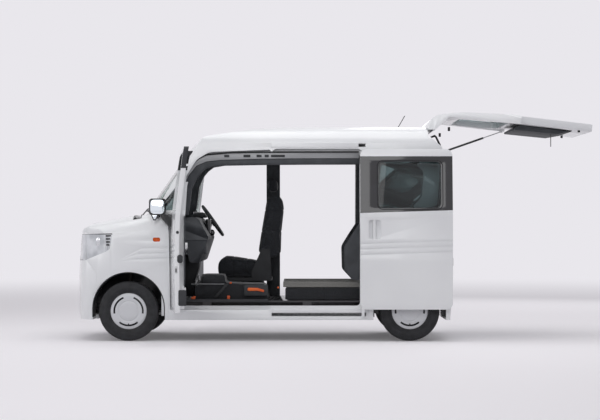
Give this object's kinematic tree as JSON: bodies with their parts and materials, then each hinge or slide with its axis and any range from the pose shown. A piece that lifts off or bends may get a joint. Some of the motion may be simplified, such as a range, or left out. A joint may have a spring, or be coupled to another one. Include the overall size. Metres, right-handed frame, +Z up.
{
  "type": "kei-class van",
  "caption": "Small high-roof van with hinged front doors, open sliding doors, a raised tailgate, a pillarless left doorway, folded seats and steel wheels with slotted covers.",
  "frame": {"origin": "on the ground below the middle of the overall box, which includes the raised tailgate and the open doors", "axes": "+X towards the rear of the van, +Y to the van's right, +Z up"},
  "size_m": [4.6646, 3.1608, 2.0604],
  "materials": {
    "body_paint": "gloss",
    "black_metal": "satin",
    "glass": "polished",
    "black_plastic": "matte",
    "grey_plastic": "matte",
    "white_plastic": "gloss",
    "amber_lens": "gloss",
    "red_lens": "gloss",
    "lamp_lens": "gloss",
    "tyre": "matte",
    "wheel_silver": "satin",
    "steel": "satin",
    "iron": "matte",
    "alloy": "satin",
    "seat_cloth": "matte",
    "floor_carpet": "matte",
    "mirror_case": "gloss"
  },
  "bodies": {
    "body": {"aerial": "black_plastic", "body_side_left": "body_paint", "body_side_right": "body_paint", "dashboard": "grey_plastic", "driver_headrest": "seat_cloth", "driver_seat_back": "seat_cloth", "driver_seat_base": "black_metal", "driver_seat_cushion": "seat_cloth", "engine": "alloy", "exhaust": "steel", "floor_pan": "body_paint", "front_bulkhead": "body_paint", "front_bumper": "white_plastic", "front_suspension": "black_metal", "front_wings": "body_paint", "fuel_tank": "black_plastic", "grille": "black_plastic", "headlamps": "lamp_lens", "load_floor": "floor_carpet", "passenger_seat_folded": "seat_cloth", "quarter_trims": "grey_plastic", "radiator": "alloy", "rear_axle": "black_metal", "rear_bumper": "white_plastic", "rear_seats_folded": "seat_cloth", "roof_panel": "body_paint", "side_repeaters": "amber_lens", "side_windows": "glass", "slide_rails": "steel", "sliding_door_left": "body_paint", "sliding_door_right": "body_paint", "steering_column": "black_plastic", "tail_lamps": "red_lens", "windscreen": "glass", "wipers": "black_plastic"},
    "bonnet": {"bonnet": "body_paint"},
    "front_door_left": {"front_door_left": "body_paint", "front_door_glass_left": "glass", "door_mirror_left": "mirror_case"},
    "front_door_right": {"front_door_right": "body_paint", "front_door_glass_right": "glass", "door_mirror_right": "mirror_case"},
    "tailgate": {"tailgate": "body_paint", "tailgate_glass": "glass"},
    "strut_tube": {"strut_tube": "black_metal"},
    "strut_rod": {"strut_rod": "steel"},
    "knuckle_left": {"knuckle_left": "iron"},
    "knuckle_right": {"knuckle_right": "iron"},
    "steering_wheel": {"steering_wheel": "black_plastic"},
    "wheel_front_left": {"tyre_front_left": "tyre", "wheel_front_left": "wheel_silver"},
    "wheel_front_right": {"tyre_front_right": "tyre", "wheel_front_right": "wheel_silver"},
    "wheel_rear_left": {"tyre_rear_left": "tyre", "wheel_rear_left": "wheel_silver"},
    "wheel_rear_right": {"tyre_rear_right": "tyre", "wheel_rear_right": "wheel_silver"}
  },
  "joints": [
    {"name": "bonnet_hinge", "type": "hinge", "parent": "body", "child": "bonnet", "pos_m": [-1.7955, 0, 1.105], "axis": [0, 1, 0], "range_deg": [0, 55]},
    {"name": "front_door_left_hinge", "type": "hinge", "parent": "body", "child": "front_door_left", "pos_m": [-1.4335, -0.7115, 0.7], "axis": [0, 0, 1], "range_deg": [0, 84]},
    {"name": "front_door_right_hinge", "type": "hinge", "parent": "body", "child": "front_door_right", "pos_m": [-1.4335, 0.7115, 0.7], "axis": [0, 0, -1], "range_deg": [0, 84]},
    {"name": "tailgate_hinge", "type": "hinge", "parent": "body", "child": "tailgate", "pos_m": [0.8645, 0, 1.911], "axis": [0, 1, 0], "range_deg": [0, 83.4]},
    {"name": "strut_foot", "type": "hinge", "parent": "body", "child": "strut_tube", "pos_m": [0.9765, 0.596, 1.708], "axis": [0, 1, 0], "range_deg": [0, 109.19]},
    {"name": "strut_slide", "type": "slide", "parent": "strut_tube", "child": "strut_rod", "axis": [0.9444, 0, 0.3289], "range_m": [-0.13848, 0]},
    {"name": "steer_left", "type": "hinge", "parent": "body", "child": "knuckle_left", "pos_m": [-1.8355, -0.6, 0.178], "axis": [0, 0.219, 0.9757], "range_deg": [-33, 33]},
    {"name": "steer_right", "type": "hinge", "parent": "body", "child": "knuckle_right", "pos_m": [-1.8355, 0.6, 0.178], "axis": [0, -0.219, 0.9757], "range_deg": [-33, 33]},
    {"name": "steering_wheel_turn", "type": "hinge", "parent": "body", "child": "steering_wheel", "pos_m": [-1.1295, 0.35, 1.081], "axis": [0.8189, 0, 0.5739], "range_deg": [-530, 530]},
    {"name": "spin_front_left", "type": "hinge", "parent": "knuckle_left", "child": "wheel_front_left", "pos_m": [-1.8355, -0.655, 0.2685], "axis": [0, 1, 0], "continuous": true},
    {"name": "spin_front_right", "type": "hinge", "parent": "knuckle_right", "child": "wheel_front_right", "pos_m": [-1.8355, 0.655, 0.2685], "axis": [0, 1, 0], "continuous": true},
    {"name": "spin_rear_left", "type": "hinge", "parent": "body", "child": "wheel_rear_left", "pos_m": [0.6845, -0.655, 0.2685], "axis": [0, 1, 0], "continuous": true},
    {"name": "spin_rear_right", "type": "hinge", "parent": "body", "child": "wheel_rear_right", "pos_m": [0.6845, 0.655, 0.2685], "axis": [0, 1, 0], "continuous": true}
  ],
  "couplings": [
    {"joint": "steer_right", "follows": "steer_left", "ratio": 1},
    {"joint": "steering_wheel_turn", "follows": "steer_left", "ratio": 16},
    {"joint": "strut_foot", "follows": "tailgate_hinge", "ratio": 1.3057},
    {"joint": "strut_slide", "follows": "tailgate_hinge", "m_per_rad": -0.09479}
  ]
}
